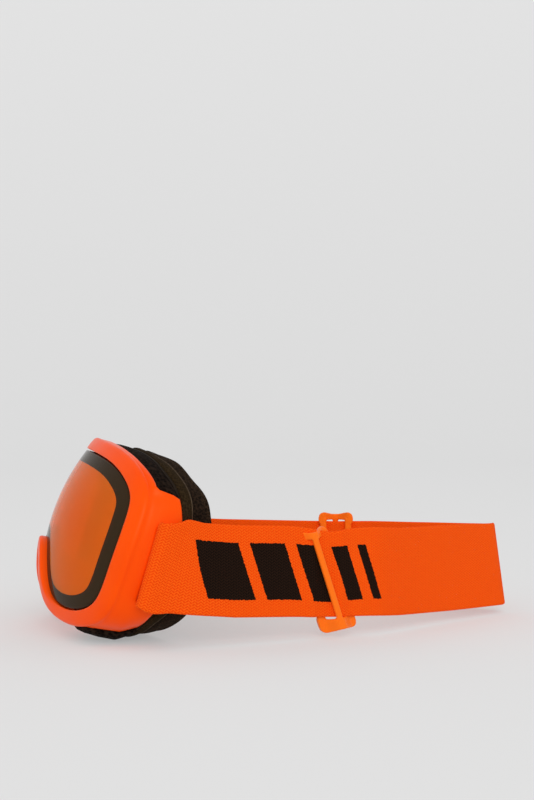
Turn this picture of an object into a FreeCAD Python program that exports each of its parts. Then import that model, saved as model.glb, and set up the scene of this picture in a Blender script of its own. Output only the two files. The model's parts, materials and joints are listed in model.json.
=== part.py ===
"""Ski goggles: one moulded frame, a double spherical lens, layered face foam and an elastic strap.

The head of the goggles is modelled upright in its own frame and then leaned back as it stands on a
table.  Right-left is X, the strap runs back along +Y and +Z is up.  All sizes are millimetres.
"""
import FreeCAD, Part
import math
import os

Vec = FreeCAD.Vector
UP = Vec(0, 0, 1)

# ---- driving dimensions --------------------------------------------------------------------------
HEAD_LEAN = 16.0            # degrees the head leans back when it stands on a table
BAR_HEIGHT = 37.0           # height of the strap bars' middle above the table
ORIGIN_BACK = 70.2          # distance from the strap bars back to the middle of the whole part
LENS_RADIUS = 100.0         # outer face of the outer lens
LENS_CENTRE_BACK = 59.0     # lens sphere centre behind the strap bars
LENS_CENTRE_UP = 1.0        # lens sphere centre above the strap bars' middle
OUTER_LENS = 1.2            # thickness
SPACER = 2.4                # foam between the lenses
INNER_LENS = 1.0            # thickness
SPACER_WIDTH = 5.5          # width of the spacer ring
LENS_FIT = 0.35             # room round the lens in its groove
LIP = 1.0                   # overlap of the rim on the lens edge
RIM_PROUD = 3.2             # rim stands this far in front of the lens
RIM_WIDTH = 7.6             # from the lens edge to the outside of the frame
SHELL_WALL = 2.4            # frame wall thickness
SHELL_TAPER = 0.035         # the frame narrows by this much per millimetre towards the face
SIDE_TAPER = 0.003          # share by which its sides also close in per millimetre
SIDE_TAPER_START = -15.0
FACE_RISE_START = -2.0      # behind this line the head rises towards the face
FACE_RISE = 0.3
SEAT_LEAN = 8.5             # degrees the seat for the foam leans, top towards the lens
SEAT_FRONT = -6.5           # the frame's rear edge at the middle plane, from the strap bars
SEAT_RADIUS = 160.0         # curve of the frame's rear edge round the face
FACE_FRONT = 5.0            # the foam's rear face at the middle plane, from the strap bars
FACE_RADIUS = 105.0         # curve of the foam's rear face
FLANGE = 2.0                # black flange between frame and foam
BASE_FOAM = 4.5
FLEECE = 1.2
FOAM_WIDTH = 13.0
FOAM_INSET = 0.6            # foam outline inside the frame's outline
TOP_VENT_DEPTH = 9.0        # how far the upper vent opening cuts into the frame's rear edge
TOP_VENT_HALF = 61.0        # its half width
LOW_VENT_DEPTH = 17.0
LOW_VENT_HALF = 18.0
LOW_VENT_MIDDLE = 35.0
VENT_CORNER = 3.0
BAR_SPAN = 72.9             # strap bar axis, from the middle plane
BAR_RADIUS = 1.9
BAR_LENGTH = 46.0
SLOT_DEPTH = 16.0           # opening round each strap bar, front to back
SLOT_HEIGHT = 41.6
LUG_DEPTH = 5.6
WEB_WIDTH = 38.0            # strap webbing
WEB_THICK = 1.6
WEB_GAP = 0.3               # air between webbing and neighbouring solids
NECK_START = 9.0            # the strap's end loop stops here, behind the bars
NECK_END = 38.0             # the soft neck stops here and the long run begins
TAIL_END = 37.0             # the sewn tail of each end loop reaches this far back
SLIDER_WIDTH = 18.0
SLIDER_THICK = 2.2
SLIDER_BAR = 3.0
SLIDER_END = 2.6

# Half outline of the lens seen from the front, from the top middle round to the nose.
LENS_HALF = [(0, 37.8), (16, 37.6), (31, 36.9), (45, 34.9), (56, 31.4), (63.8, 25.2), (67.0, 15.5),
             (67.8, 5.0), (67.2, -5.0), (65.2, -15.0), (61.2, -23.0), (53.5, -28.6), (44.0, -31.3),
             (33.5, -31.4), (24.5, -28.4), (17.5, -20.5), (11.5, -12.0), (5.5, -7.4), (0, -6.4)]

# Plan of each half of the strap, from the bar round to the fold: (out, back, corner radius).
FOLD = (0.0, 192.7, 9.0)
WEB_PLAN = {"left": [(75.9, 0.0, 0), (51.5, 108.0, 30.0), FOLD],
            "right": [(75.9, 0.0, 0), (47.6, 130.0, 30.0), FOLD]}
# Height of the webbing's middle along each half: (back, up).
WEB_SIDE = {"left": [(-20.0, 38.8), (0.0, 37.0), (38.0, 33.0), (104.0, 27.2), (150.0, 25.6), (220.0, 24.6)],
            "right": [(-20.0, 43.0), (0.0, 37.0), (38.0, 24.8), (124.0, 23.2), (150.0, 24.6), (220.0, 24.6)]}
# Sliders: distance behind the bars, height of the middle, total height and lean towards the frame.
SLIDERS = {"left": (81.5, 27.3, 52.6, 8.0), "right": (114.0, 23.1, 46.2, 0.0)}


# ---- frames --------------------------------------------------------------------------------------
def lean(shape):
    """Tip a solid of the upright head back and lift it to the strap bars' height."""
    placed = shape.copy()
    placed.rotate(Vec(0, 0, 0), Vec(1, 0, 0), -HEAD_LEAN)
    placed.translate(Vec(0, 0, BAR_HEIGHT))
    return placed


def mirrored(shape):
    return shape.mirror(Vec(0, 0, 0), Vec(1, 0, 0))


def face_cylinder(radius, front):
    """Tall cylinder whose front side passes front at the middle plane, leaning with the seat."""
    cylinder = Part.makeCylinder(radius, 240.0, Vec(0, front + radius, -120.0), UP)
    cylinder.rotate(Vec(0, front + radius, 0), Vec(1, 0, 0), SEAT_LEAN)
    return cylinder


def ball(radius):
    return Part.makeSphere(radius, Vec(0, LENS_CENTRE_BACK, LENS_CENTRE_UP))


# ---- outlines of the head ------------------------------------------------------------------------
def whole_outline(half):
    left = [(-x, h) for x, h in reversed(half[1:-1])]
    return list(half) + left


def grown(points, distance):
    """Move each point of a closed clockwise outline outwards along its own normal."""
    moved = []
    count = len(points)
    for index, (x, h) in enumerate(points):
        before = points[index - 1]
        after = points[(index + 1) % count]
        along = Vec(after[0] - before[0], 0, after[1] - before[1]).normalize()
        moved.append((x - along.z * distance, h + along.x * distance))
    return moved


def ring_wire(points, back, closing_in=1.0, rise=0.0):
    curve = Part.BSplineCurve()
    places = [Vec(x * closing_in, back, h + rise) for x, h in points]
    curve.interpolate(Points=places, PeriodicFlag=True)
    return Part.Wire([curve.toShape()])


def lens_column(growth, front=-60.0, rear=20.0):
    """A straight solid with the lens outline grown by growth."""
    points = grown(whole_outline(LENS_HALF), growth)
    return Part.makeLoft([ring_wire(points, front), ring_wire(points, rear)], True, True)


def shell_column(growth, front=-60.0, rear=50.0):
    """A solid that follows the frame's tapering sides, with the lens outline grown by growth."""
    lens = whole_outline(LENS_HALF)
    wires = []
    for back in (front, FACE_RISE_START, rear):
        closing_in = 1.0 - SIDE_TAPER * (back - SIDE_TAPER_START)
        rise = FACE_RISE * max(0.0, back - FACE_RISE_START)
        wires.append(ring_wire(grown(lens, growth - SHELL_TAPER * back), back, closing_in, rise))
    return Part.makeLoft(wires, True, True)


def face_layer(front_cylinder, rear_cylinder):
    """Space behind the front cylinder's near side and ahead of the rear cylinder."""
    towards_lens = Part.makeBox(200, 130, 180, Vec(-100, -40, -90))
    return front_cylinder.common(towards_lens).cut(rear_cylinder)


def seat_cylinder(behind):
    return face_cylinder(SEAT_RADIUS - behind, SEAT_FRONT + behind)


# ---- lens ----------------------------------------------------------------------------------------
def lens_pieces():
    edge = lens_column(0.0)
    outer_back = LENS_RADIUS - OUTER_LENS
    spacer_back = outer_back - SPACER
    inner_back = spacer_back - INNER_LENS
    ring = edge.cut(lens_column(-SPACER_WIDTH))
    return {"lens_outer": edge.common(ball(LENS_RADIUS)).cut(ball(outer_back)),
            "lens_spacer": ring.common(ball(outer_back)).cut(ball(spacer_back)),
            "lens_inner": edge.common(ball(spacer_back)).cut(ball(inner_back))}


# ---- frame ---------------------------------------------------------------------------------------
def strap_bar():
    """Bar for one end of the strap with a lug at each end that joins it to the frame's wall."""
    bar = Part.makeCylinder(BAR_RADIUS, BAR_LENGTH, Vec(BAR_SPAN, 0, -BAR_LENGTH / 2), UP)
    lug_height = (BAR_LENGTH - SLOT_HEIGHT) / 2 + 1.0
    for low in (SLOT_HEIGHT / 2, -SLOT_HEIGHT / 2 - lug_height):
        lug = Part.makeBox(BAR_SPAN + BAR_RADIUS - 63.0, LUG_DEPTH, lug_height,
                           Vec(63.0, -LUG_DEPTH / 2, low))
        bar = bar.fuse(lug)
    return bar


def strap_slot():
    return Part.makeBox(30, SLOT_DEPTH, SLOT_HEIGHT, Vec(58, -SLOT_DEPTH / 2, -SLOT_HEIGHT / 2))


def vent_block(half_width, depth, low, high, inset=0.0):
    """Rounded block for a vent opening in the rear edge of the frame, forward of the foam seat."""
    wide = half_width - inset
    block = Part.makeBox(2 * wide, 90, high - low - 2 * inset, Vec(-wide, -60, low + inset))
    along = [e for e in block.Edges if abs(e.Vertexes[0].Point.y - e.Vertexes[1].Point.y) > 1]
    block = block.makeFillet(VENT_CORNER, along)
    return block.common(seat_cylinder(inset - depth))


def vent_blocks(inset=0.0):
    blocks = {"top": vent_block(TOP_VENT_HALF, TOP_VENT_DEPTH, 30.0, 80.0, inset)}
    for name, side in (("left", 1), ("right", -1)):
        low = vent_block(LOW_VENT_HALF, LOW_VENT_DEPTH, -80.0, -24.0, inset)
        low.translate(Vec(side * LOW_VENT_MIDDLE, 0, 0))
        blocks["bottom_" + name] = low
    return blocks


def frame_shell():
    front_half = Part.makeBox(200, 130, 180, Vec(-100, -60, -90))
    lens_back = LENS_RADIUS - OUTER_LENS - SPACER - INNER_LENS - 0.2
    shell = shell_column(RIM_WIDTH).common(front_half).common(ball(LENS_RADIUS + RIM_PROUD))
    shell = shell.cut(seat_cylinder(0.0))
    shell = shell.cut(shell_column(RIM_WIDTH - SHELL_WALL).common(ball(lens_back - SHELL_WALL)))
    shell = shell.cut(lens_column(-LIP))
    shell = shell.cut(lens_column(LENS_FIT).common(ball(LENS_RADIUS + 0.15)).cut(ball(lens_back)))
    for block in vent_blocks().values():
        shell = shell.cut(block)
    bar = strap_bar().cut(seat_cylinder(0.0))
    for slot, crossbar in ((strap_slot(), bar), (mirrored(strap_slot()), mirrored(bar))):
        shell = shell.cut(slot).fuse(crossbar)
    return shell


def face_pieces():
    """The black flange and the three layers of face foam behind it."""
    outside = shell_column(RIM_WIDTH - FOAM_INSET)
    ring = outside.cut(shell_column(RIM_WIDTH - FOAM_INSET - FOAM_WIDTH))
    cylinders = [seat_cylinder(0.0), seat_cylinder(FLANGE), seat_cylinder(FLANGE + BASE_FOAM),
                 face_cylinder(FACE_RADIUS + FLEECE, FACE_FRONT - FLEECE),
                 face_cylinder(FACE_RADIUS, FACE_FRONT)]
    names = ("face_flange", "foam_base", "foam_comfort", "fleece_lining")
    return {name: ring.common(face_layer(front, rear))
            for name, front, rear in zip(names, cylinders, cylinders[1:])}


def vent_foams():
    """Open-cell foam filters that close the vent openings from inside the frame."""
    ring = shell_column(RIM_WIDTH - 0.7).cut(shell_column(RIM_WIDTH - 5.0))
    ring = ring.cut(seat_cylinder(0.0))
    blocks = vent_blocks(0.3)
    pieces = {}
    for name, side in (("left", 0), ("right", -1)):
        half = Part.makeBox(100, 120, 160, Vec(side * 100 + (0.5 if side == 0 else -0.5), -60, -80))
        pieces["vent_foam_top_" + name] = ring.common(blocks["top"]).common(half)
        pieces["vent_foam_bottom_" + name] = ring.common(blocks["bottom_" + name])
    return pieces


# ---- strap ---------------------------------------------------------------------------------------
def rounded_path(points):
    """Edges through points (x, y, radius): straight runs joined by tangent arcs."""
    edges = []
    start = Vec(points[0][0], points[0][1], 0)
    for index in range(1, len(points) - 1):
        corner = Vec(points[index][0], points[index][1], 0)
        radius = points[index][2]
        arriving = (corner - Vec(points[index - 1][0], points[index - 1][1], 0)).normalize()
        leaving = (Vec(points[index + 1][0], points[index + 1][1], 0) - corner).normalize()
        half_turn = arriving.getAngle(leaving) / 2
        reach = radius * math.tan(half_turn)
        first = corner - arriving * reach
        last = corner + leaving * reach
        inward = (leaving - arriving).normalize()
        middle = corner + inward * (radius / math.cos(half_turn) - radius)
        edges.append(Part.LineSegment(start, first).toShape())
        edges.append(Part.Arc(first, middle, last).toShape())
        start = last
    edges.append(Part.LineSegment(start, Vec(points[-1][0], points[-1][1], 0)).toShape())
    return edges


def shifted_path(points, shift):
    """The same path moved sideways by shift, away from the inside of the strap's loop."""
    moved = []
    for index, (x, y, radius) in enumerate(points):
        here = Vec(x, y, 0)
        sides = []
        if index > 0:
            sides.append((here - Vec(points[index - 1][0], points[index - 1][1], 0)).normalize())
        if index < len(points) - 1:
            sides.append((Vec(points[index + 1][0], points[index + 1][1], 0) - here).normalize())
        normals = [Vec(side.y, -side.x, 0) for side in sides]
        total = normals[0] if len(normals) == 1 else (normals[0] + normals[1]).normalize()
        miter = shift / total.dot(normals[0])
        moved.append((x + total.x * miter, y + total.y * miter, radius + shift if radius else 0))
    return moved


def loop_path():
    """Plan of the whole strap from the left bar round the fold to the right bar."""
    right = [(-x, y, radius) for x, y, radius in reversed(WEB_PLAN["right"][:-1])]
    return WEB_PLAN["left"] + right


def ribbon(inner, outer):
    """Upright band between two shifts of the strap's plan, taller than the strap."""
    inside = rounded_path(shifted_path(loop_path(), inner))
    outside = rounded_path(shifted_path(loop_path(), outer))
    first = Part.LineSegment(inside[0].Vertexes[0].Point, outside[0].Vertexes[0].Point).toShape()
    last = Part.LineSegment(outside[-1].Vertexes[-1].Point, inside[-1].Vertexes[-1].Point).toShape()
    wire = Part.Wire(Part.__sortEdges__(inside + outside + [first, last]))
    plate = Part.Face(wire).extrude(Vec(0, 0, 100))
    plate.translate(Vec(0, 0, -10))
    return plate


def side_window(side, start, end, half_width=WEB_WIDTH / 2):
    """What one half of the strap covers seen from the side, between two places along Y."""
    line = WEB_SIDE[side]
    heights = [(start, height_at(side, start))]
    heights += [(y, z) for y, z in line if start < y < end]
    heights.append((end, height_at(side, end)))
    points = [Vec(0, y, z + half_width) for y, z in heights]
    points += [Vec(0, y, z - half_width) for y, z in reversed(heights)]
    face = Part.Face(Part.makePolygon(points + [points[0]]))
    return face.extrude(Vec(100 if side == "left" else -100, 0, 0))


def height_at(side, back):
    line = WEB_SIDE[side]
    for (y0, z0), (y1, z1) in zip(line, line[1:]):
        if y0 <= back <= y1:
            return z0 + (z1 - z0) * (back - y0) / (y1 - y0)
    return line[-1][1]


def strap_loop(side):
    """End of the webbing wrapped round the bar, both legs closing up just behind it."""
    half = WEB_THICK / 2
    reach = BAR_RADIUS + WEB_GAP
    out = BAR_SPAN
    slope = (WEB_PLAN[side][0][0] - WEB_PLAN[side][1][0]) / WEB_PLAN[side][1][1]
    end = NECK_START
    outer_end = WEB_PLAN[side][0][0] - slope * end
    points = [Vec(outer_end + half, end, 0), Vec(out + reach + WEB_THICK, 0, 0),
              Vec(out, -reach - WEB_THICK, 0), Vec(out - reach - WEB_THICK, 0, 0),
              Vec(outer_end - 3 * half - WEB_GAP, end, 0), Vec(outer_end - half - WEB_GAP, end, 0),
              Vec(out - reach, 0, 0), Vec(out, -reach, 0), Vec(out + reach, 0, 0),
              Vec(outer_end - half, end, 0)]
    edges = [Part.LineSegment(points[0], points[1]).toShape(),
             Part.Arc(points[1], points[2], points[3]).toShape(),
             Part.LineSegment(points[3], points[4]).toShape(),
             Part.LineSegment(points[4], points[5]).toShape(),
             Part.LineSegment(points[5], points[6]).toShape(),
             Part.Arc(points[6], points[7], points[8]).toShape(),
             Part.LineSegment(points[8], points[9]).toShape(),
             Part.LineSegment(points[9], points[0]).toShape()]
    height = WEB_WIDTH / math.cos(math.radians(HEAD_LEAN)) + 0.6
    loop = Part.Face(Part.Wire(edges)).extrude(Vec(0, 0, height))
    loop.translate(Vec(0, 0, -height / 2))
    return lean(loop if side == "left" else mirrored(loop))


def strap_pieces():
    """The long run of webbing, the soft neck and sewn tail at each end, and the loops on the bars."""
    layer = ribbon(-WEB_THICK / 2, WEB_THICK / 2)
    inner_layer = ribbon(-3 * WEB_THICK / 2 - WEB_GAP, -WEB_THICK / 2 - WEB_GAP)
    behind_bar = lean(Part.makeBox(200, 300, 300, Vec(-100, NECK_START, -150)))
    run = [layer.common(side_window(side, NECK_END, 215.0)) for side in ("left", "right")]
    pieces = {"strap_webbing": run[0].fuse(run[1]).removeSplitter()}
    for side in ("left", "right"):
        neck = layer.common(side_window(side, -15.0, NECK_END))
        tail = inner_layer.common(side_window(side, -15.0, TAIL_END, WEB_WIDTH / 2 - 0.5))
        pieces["strap_neck_" + side] = neck.common(behind_bar)
        pieces["strap_tail_" + side] = tail.common(behind_bar)
        pieces["strap_loop_" + side] = strap_loop(side)
    return pieces


def run_direction(side):
    """Unit vector along the straight run that a slider moves on, away from the bar."""
    plan = WEB_PLAN[side]
    rise = height_at(side, 100.0) - height_at(side, 40.0)
    direction = Vec(plan[1][0] - plan[0][0], plan[1][1], rise * plan[1][1] / 60.0)
    if side == "right":
        direction.x = -direction.x
    return direction.normalize()


def slider(side):
    """Three-bar slider: the webbing passes inside the middle bar and outside the two outer rails."""
    back, middle, height, tilt = SLIDERS[side]
    half_webbing = WEB_THICK / 2 + WEB_GAP
    depth = 2 * (half_webbing + SLIDER_THICK)
    between = height - 2 * SLIDER_END
    rail = Part.makeBox(SLIDER_BAR, SLIDER_THICK, between, Vec(0, half_webbing, -between / 2))
    bars = []
    for along in (-SLIDER_WIDTH / 2, SLIDER_WIDTH / 2 - SLIDER_BAR):
        moved = rail.copy()
        moved.translate(Vec(along, 0, 0))
        bars.append(moved)
    centre = rail.copy()
    centre.translate(Vec(-SLIDER_BAR / 2, -2 * half_webbing - SLIDER_THICK, 0))
    bars.append(centre)
    for end in (-1, 1):
        low = min(end * height / 2, end * between / 2)
        cap = Part.makeBox(SLIDER_WIDTH, depth, SLIDER_END, Vec(-SLIDER_WIDTH / 2, -depth / 2, low))
        ears = [e for e in cap.Edges if abs(e.Vertexes[0].Point.z - end * height / 2) < 0.01
                and abs(e.Vertexes[1].Point.z - end * height / 2) < 0.01
                and abs(e.Vertexes[0].Point.y - e.Vertexes[1].Point.y) > 1.0]
        bars.append(cap.makeFillet(SLIDER_END * 0.8, ears))
    body = bars[0].multiFuse(bars[1:]).removeSplitter()
    body.rotate(Vec(0, 0, 0), Vec(0, 1, 0), -tilt)
    plan = WEB_PLAN[side]
    slope = math.degrees(math.atan2(plan[0][0] - plan[1][0], plan[1][1]))
    body.rotate(Vec(0, 0, 0), UP, 90.0 + slope)
    out = plan[0][0] + (plan[1][0] - plan[0][0]) * back / plan[1][1]
    body.translate(Vec(out, back, middle))
    return body if side == "left" else mirrored(body)


# ---- whole part ----------------------------------------------------------------------------------
def all_pieces():
    head = {"frame_shell": frame_shell()}
    head.update(lens_pieces())
    head.update(face_pieces())
    head.update(vent_foams())
    pieces = {name: lean(shape) for name, shape in head.items()}
    pieces.update(strap_pieces())
    for side in ("left", "right"):
        pieces["slider_" + side] = slider(side)
    return pieces


os.makedirs("parts", exist_ok=True)
for name, shape in all_pieces().items():
    shape.translate(Vec(0, -ORIGIN_BACK, 0))
    solids = Part.makeCompound(shape.Solids) if len(shape.Solids) > 1 else shape.Solids[0]
    solids.exportStep("parts/" + name + ".step")
    box = solids.optimalBoundingBox()
    print(name, len(shape.Solids), "solids", round(shape.Volume), "mm3, box",
          [round(v, 1) for v in (box.XMin, box.YMin, box.ZMin, box.XMax, box.YMax, box.ZMax)])
for side in ("left", "right"):
    print("slide direction", side, run_direction(side))
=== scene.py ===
"""Looks of the ski goggles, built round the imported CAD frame.

Lengths inside the head are millimetres in the upright head's own frame: x out from the middle, back
from the strap bars, up from the bars' middle.  place() turns them into metres in the part's frame.
Lengths along the strap are millimetres too: (out, back) in plan, and the height above the table.
"""
import json
import math

import bmesh
import bpy
import numpy as np
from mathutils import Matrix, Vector


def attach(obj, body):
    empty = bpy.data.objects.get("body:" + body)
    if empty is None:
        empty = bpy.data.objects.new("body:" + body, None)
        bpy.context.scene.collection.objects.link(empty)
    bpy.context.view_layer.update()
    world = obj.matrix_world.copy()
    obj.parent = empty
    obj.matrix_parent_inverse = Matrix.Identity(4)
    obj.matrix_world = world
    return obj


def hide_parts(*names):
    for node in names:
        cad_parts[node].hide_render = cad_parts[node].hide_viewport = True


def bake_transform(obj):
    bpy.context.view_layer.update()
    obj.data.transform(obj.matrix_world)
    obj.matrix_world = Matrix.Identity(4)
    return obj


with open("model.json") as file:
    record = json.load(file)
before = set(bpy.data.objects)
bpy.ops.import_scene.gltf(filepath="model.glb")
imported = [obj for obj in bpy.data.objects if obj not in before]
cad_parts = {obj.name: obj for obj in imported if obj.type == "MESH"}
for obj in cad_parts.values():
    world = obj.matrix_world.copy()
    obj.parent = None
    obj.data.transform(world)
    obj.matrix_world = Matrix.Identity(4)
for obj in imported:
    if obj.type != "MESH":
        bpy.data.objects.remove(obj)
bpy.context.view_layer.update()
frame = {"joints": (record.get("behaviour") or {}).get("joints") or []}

MM = 0.001
JOINTS = {joint["name"]: joint for joint in frame["joints"]}
BARS = Vector(JOINTS["strap_lift"]["pos_m"])      # middle of the line between the two strap bars

# ---- driving sizes, in millimetres ---------------------------------------------------------------
HEAD_LEAN = math.radians(16.0)  # the head stands leaning back on its lower edge
LENS_RADIUS = 100.0             # front face of the outer lens
LENS_CENTRE_BACK = 59.0
LENS_CENTRE_UP = 1.0
LENS_MIDDLE_UP = 14.0           # the lens mesh's rings close in on this height
OUTER_LENS = 1.2                # thickness
INNER_LENS = 1.0
SPACER = 2.4                    # depth of the ring between the lenses
SPACER_WIDTH = 5.6
LENS_GAP = 1.35                 # from the lens outline in to the lens edge
RIM_AT_TEMPLE = 7.6             # width of the rim from the lens edge to the outside of the frame
RIM_AT_TOP = 5.2
LENS_RAISED = 2.4               # at the top the foam's outline is this much narrower than the temple rim
RIM_FLUSH = 0.5                 # the rim stands this far in front of the lens
RIM_AT_NOSE = 2.7               # and this much more over the nose
SHELL_WALL = 2.4
SHELL_TAPER = 0.035             # the frame narrows by this much per millimetre towards the face
SIDE_TAPER = 0.003              # share by which its sides also close in per millimetre
SIDE_TAPER_START = -15.0
FACE_RISE_START = -2.0
RISE_TOP = 0.18                 # behind that line the head's top rises by this share of the distance
RISE_LOW = 0.42                 # and its underside by this share
SEAT_LEAN = math.tan(math.radians(8.5))
SEAT_FRONT = -6.5               # the frame's rear edge at the middle plane
SEAT_CURVE = 0.6 / 160.0        # depth per square millimetre of x
LOW_TEMPLE = 5.0                # the rear edge stands this much further forward low at the temples
FACE_FRONT = 4.8                # the foam's rear face at the middle plane
FACE_CURVE = 0.56 / 105.0
FOAM_WIDTH = 13.5
CORNER_DROP = 2.4               # the face layers stand this much inside the base foam at the upper corners
TOP_VENT_DEPTH = 10.0           # the upper vent opening cuts this far into the frame's rear edge
LOW_VENT_DEPTH = 21.0
# Each opening fades in or out between two heights or two distances from the middle plane.
TOP_VENT_FLOOR = (28.5, 32.0)
TOP_VENT_END = (64.5, 68.0)
LOW_VENT_START = (14.0, 20.0)
LOW_VENT_END = (50.0, 58.0)
LOW_VENT_CEILING = (-28.0, -24.0)
BAR_OUT = 72.4                  # strap bar's axis from the middle plane
BAR_BACK = 3.4
BAR_RADIUS = 1.9
LUG_HALF_DEPTH = 2.8
SLOT_FRONT = -0.5               # opening in the frame's side wall for the strap
SLOT_REAR = 8.4
SLOT_HALF = 17.4
SLOT_INSIDE = 60.0              # its cutter reaches from here to outside the wall
SLOT_OUTSIDE = 82.0
LUG_INSIDE = 65.0               # the bar's lugs reach in to here
WEB_THICK = 1.6
LOOP_RADIUS = BAR_RADIUS + WEB_THICK / 2 + 0.2
LAYER_GAP = 1.75                # between the middles of the strap and its sewn-back tail
PLAN_START = 75.9               # strap's centre line beside the bars
PLAN_CORNER = {"left": (51.5, 108.0), "right": (47.6, 130.0)}
CORNER_RADIUS = 30.0
FOLD_BACK = 192.7               # where the two halves would meet if the fold were sharp
FOLD_RADIUS = 9.0
FOLD_MIDDLE = 185.6             # where the rounded halves meet
FOLD_LEAN = math.radians(8.0)
NECK_END = 36.0                 # the strap's soft neck ends here and the long run begins
# Height of the strap's middle and half its width along each half: (back, up, half width).
STRAP_SIDE = {
    "left": [(0, 37.0, 18.6), (4, 36.9, 19.6), (11, 36.5, 20.6), (22, 34.4, 20.0), (38, 32.6, 20.2),
             (64, 31.2, 20.3), (75, 29.9, 19.8), (83, 28.7, 19.1), (92, 29.2, 19.9), (106, 29.0, 20.4),
             (120, 27.5, 20.4), (150, 26.2, 20.8), (200, 24.2, 20.8)],
    "right": [(0, 37.0, 18.6), (4, 35.5, 19.6), (14, 31.5, 20.0), (38, 25.2, 19.1), (56, 24.7, 18.9),
              (114, 23.6, 18.9), (124, 23.4, 19.2), (150, 23.2, 20.0), (200, 24.2, 20.8)]}
# Sliders: distance behind the bars, middle height, lean of the bars and of the end pieces in degrees.
SLIDERS = {"left": (81.2, 27.0, 19.0, 8.0), "right": (114.0, 23.75, 0.0, 0.0)}
SLIDER_HALF_WIDTH = 9.2
SLIDER_HALF_HEIGHT = 23.7
SLIDER_SLOT_HALF = 19.5
SLIDER_FOOT = {"left": 1.7, "right": 0.0}   # the lower end piece is this much deeper
SLIDER_EAR = 2.9                # radius of the rounded ears
SLIDER_THICK = 2.2              # bars, in and out of the strap
SLIDER_CAP_THICK = 2.4          # end pieces
SLIDER_VOXEL = 0.00032          # grain in metres of the skin that joins a slider's bars and ends
SLIDER_BARS = [(-6.6, 1.7), (6.6, 1.7), (0.0, 1.5)]     # (middle along the strap, half width)
RAIL_SHIFT = -2.35              # the outer rails stand inside the strap
MIDDLE_SHIFT = 2.4              # and the middle bar outside it
WEAVE_PITCH = 0.0012            # zigzag of the weave along the strap, in metres
RIB_PITCH = 0.00125             # and its ribs across it
# Printed bars on the left half: (middle along the strap, half width), in metres.
PRINTED_BARS = [(0.0335, 0.011), (0.0585, 0.0085), (0.0785, 0.006), (0.094, 0.004), (0.1055, 0.0022)]
PRINTED_HALF_HEIGHT = 0.0125
PRINTED_SLANT = 0.34
# Left half of the lens outline, from the top middle down to the nose: (x, up).
LENS_HALF = [(0, 40.2), (16, 40.0), (31, 39.2), (45, 36.9), (56, 32.4), (64.0, 25.4), (67.2, 15.5),
             (67.9, 5.0), (67.2, -5.0), (65.2, -15.0), (61.2, -23.0), (53.5, -28.6), (44.0, -31.3),
             (33.5, -31.4), (24.5, -28.4), (17.5, -20.5), (11.5, -12.0), (5.5, -7.4), (0, -6.4)]
AROUND = 320                # steps round the head's outline


# ---- small helpers -------------------------------------------------------------------------------
def smooth(value, low, high):
    """0 below low, 1 above high, and smooth between them."""
    share = np.clip((value - low) / (high - low), 0.0, 1.0)
    return share * share * (3 - 2 * share)


def points_along(points, run, wanted):
    """Points at the wanted running lengths of a line whose own points are at run."""
    return np.column_stack([np.interp(wanted, run, points[:, axis]) for axis in (0, 1)])


def running_length(points):
    """Length along a line up to each of its points."""
    return np.concatenate([[0], np.cumsum(np.linalg.norm(np.diff(points, axis=0), axis=1))])


def closed_spline(points, count):
    """Points evenly spaced along the smooth closed curve through the given points."""
    known = np.array(points, float)
    step = np.linalg.norm(np.roll(known, -1, 0) - known, axis=1)
    number = len(known)
    before = np.roll(step, 1)
    matrix = np.zeros((number, number))
    for index in range(number):
        matrix[index, index - 1] = before[index]
        matrix[index, index] = 2 * (before[index] + step[index])
        matrix[index, (index + 1) % number] = step[index]
    slope = (np.roll(known, -1, 0) - known) / step[:, None]
    curve = np.linalg.solve(matrix, 6 * (slope - np.roll(slope, 1, 0)))
    fine = []
    for index in range(number):
        after = (index + 1) % number
        share = np.linspace(0, 1, 40, endpoint=False)[:, None]
        size = step[index] ** 2 / 6
        rest = 1 - share
        fine.append(rest * known[index] + share * known[after]
                    + size * ((rest ** 3 - rest) * curve[index] + (share ** 3 - share) * curve[after]))
    fine = np.concatenate(fine + [known[:1]])
    run = running_length(fine)
    return points_along(fine, run, np.linspace(0, run[-1], count, endpoint=False))


def outward(points):
    """Unit normals of a closed clockwise outline, pointing out of it."""
    along = np.roll(points, -1, 0) - np.roll(points, 1, 0)
    along /= np.linalg.norm(along, axis=1)[:, None]
    return np.column_stack([-along[:, 1], along[:, 0]])


OUTLINE = closed_spline(LENS_HALF + [(-x, up) for x, up in reversed(LENS_HALF[1:-1])], AROUND)
OUT = outward(OUTLINE)
TEMPLE_SHARE = np.maximum(smooth(np.abs(OUT[:, 0]), 0.3, 0.85),
                          (1 - smooth(np.abs(OUTLINE[:, 0]), 18.0, 30.0)) * (OUTLINE[:, 1] < 0))
RIM_WIDTH = RIM_AT_TOP + (RIM_AT_TEMPLE - RIM_AT_TOP) * TEMPLE_SHARE
FACE_WIDTH = RIM_AT_TEMPLE - LENS_RAISED * smooth(OUTLINE[:, 1], 22.0, 36.0)


def place(x, back, up):
    """Metres in the part's frame of points in the head's own frame."""
    x, back, up = np.broadcast_arrays(x, back, up)
    y = back * math.cos(HEAD_LEAN) + up * math.sin(HEAD_LEAN)
    z = up * math.cos(HEAD_LEAN) - back * math.sin(HEAD_LEAN)
    return np.stack([x * MM + BARS.x, y * MM + BARS.y, z * MM + BARS.z], axis=-1)


def lens_depth(x, up, radius=LENS_RADIUS):
    """Depth of a lens face, a sphere about the lens centre."""
    inside = np.maximum(radius ** 2 - x ** 2 - (up - LENS_CENTRE_UP) ** 2, 1.0)
    return LENS_CENTRE_BACK - np.sqrt(inside)


def seat_depth(x, up, behind=0.0):
    """Depth of the frame's rear edge, where the foam is seated."""
    low_temple = LOW_TEMPLE * smooth(-up, 15.0, 28.0) * smooth(np.abs(x), 25.0, 45.0)
    return SEAT_FRONT + behind + SEAT_CURVE * x ** 2 - SEAT_LEAN * up - low_temple


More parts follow.
